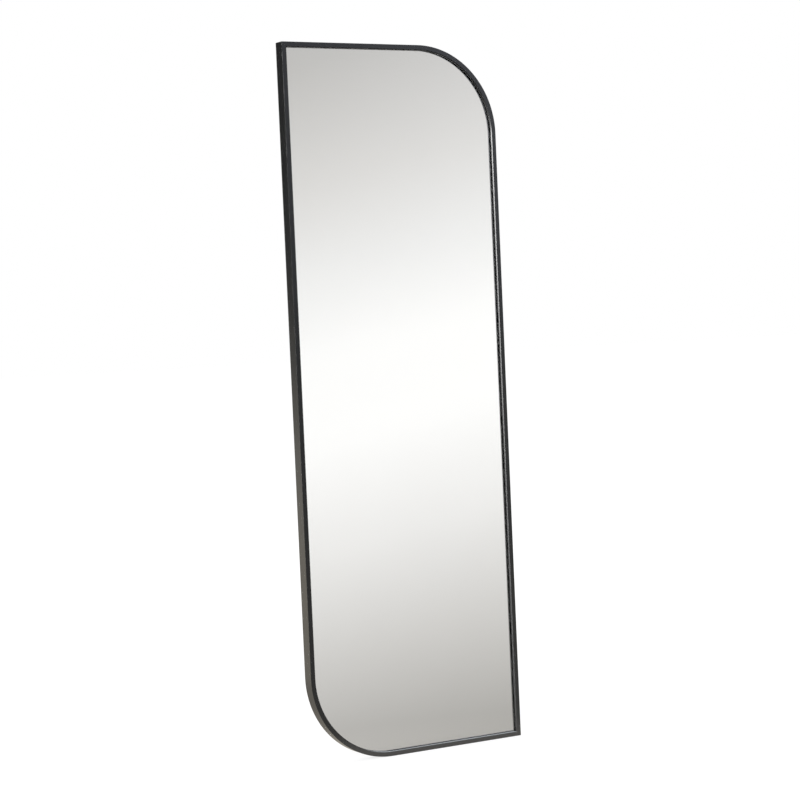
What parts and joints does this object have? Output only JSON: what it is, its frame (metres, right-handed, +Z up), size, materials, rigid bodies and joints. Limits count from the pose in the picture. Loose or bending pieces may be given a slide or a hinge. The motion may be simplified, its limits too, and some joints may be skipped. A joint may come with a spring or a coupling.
{
  "type": "wall mirror",
  "caption": "Tall full-length wall mirror in a slim black section frame, two opposite corners bent to a large radius and two mitred square, with swinging D-ring hangers on the back.",
  "frame": {"origin": "middle of the frame's flat rear edge, in the plane that lies against the wall", "axes": "+Z up along the mirror's height, +Y from the room into the wall, so the glass faces -Y, and +X to the right as seen from the room"},
  "size_m": [0.56, 0.03, 1.65],
  "materials": {
    "black_frame": "satin black powder coat on aluminium extrusion",
    "silvered_glass": "clear float glass, silvered on the back, polished",
    "black_rubber": "matt black rubber",
    "safety_film": "grey polyethylene film",
    "foam_tape": "white foam tape",
    "backing_board": "smooth brown hardboard",
    "spring_steel": "blued spring steel strip",
    "zinc_steel": "bright zinc plate",
    "ring_steel": "nickel-plated wire",
    "screw_steel": "zinc-plated screws"
  },
  "bodies": {
    "mirror": {"upper_frame_rail": "black_frame", "lower_frame_rail": "black_frame", "glazing_gasket": "black_rubber", "mirror_pane": "silvered_glass", "safety_film": "safety_film", "bonding_tape": "foam_tape", "backing_board": "backing_board", "spring_clips": "spring_steel", "setting_blocks": "black_rubber", "location_blocks": "black_rubber", "corner_plate_top_left": "zinc_steel", "corner_shim_top_left": "zinc_steel", "corner_screws_top_left": "screw_steel", "corner_plate_bottom_right": "zinc_steel", "corner_shim_bottom_right": "zinc_steel", "corner_screws_bottom_right": "screw_steel", "hanger_plate_left": "zinc_steel", "hanger_nut_bar_left": "zinc_steel", "hanger_plate_right": "zinc_steel", "hanger_nut_bar_right": "zinc_steel", "hanger_screws": "screw_steel"},
    "left_ring": {"hanger_ring_left": "ring_steel"},
    "right_ring": {"hanger_ring_right": "ring_steel"}
  },
  "joints": [
    {"name": "left_ring_swing", "type": "hinge", "parent": "mirror", "child": "left_ring", "pos_m": [-0.253, -0.0062, 0.49], "axis": [-1, 0, 0], "range_deg": [0, 160]},
    {"name": "right_ring_swing", "type": "hinge", "parent": "mirror", "child": "right_ring", "pos_m": [0.253, -0.0062, 0.49], "axis": [-1, 0, 0], "range_deg": [0, 160]}
  ]
}
